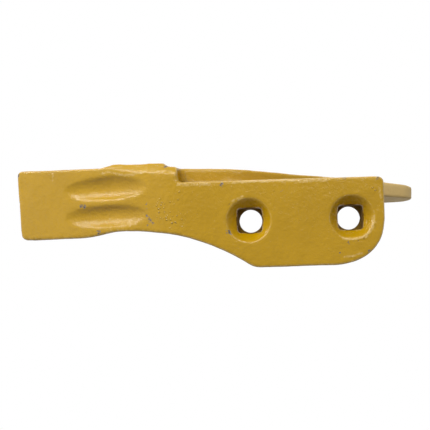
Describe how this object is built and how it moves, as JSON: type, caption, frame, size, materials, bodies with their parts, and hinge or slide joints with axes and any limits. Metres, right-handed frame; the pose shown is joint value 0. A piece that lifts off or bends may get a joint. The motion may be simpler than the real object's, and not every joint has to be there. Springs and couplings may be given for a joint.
{
  "type": "side bucket tooth",
  "caption": "Cast corner tooth for a digging bucket: chisel nose with a scalloped underside, strap with countersunk bolt holes, and a wing swept back beside the bucket.",
  "frame": {"origin": "on the strap's seat, midway between the bolt holes", "axes": "+X from the tip to the heel of the strap, +Y out of the seat along the bolts, +Z to the outer side"},
  "size_m": [0.3681, 0.152, 0.0878],
  "materials": {
    "yellow_paint": "semi-gloss yellow enamel over a rough steel casting"
  },
  "bodies": {
    "root": {"side_tooth": "yellow_paint"}
  },
  "joints": []
}
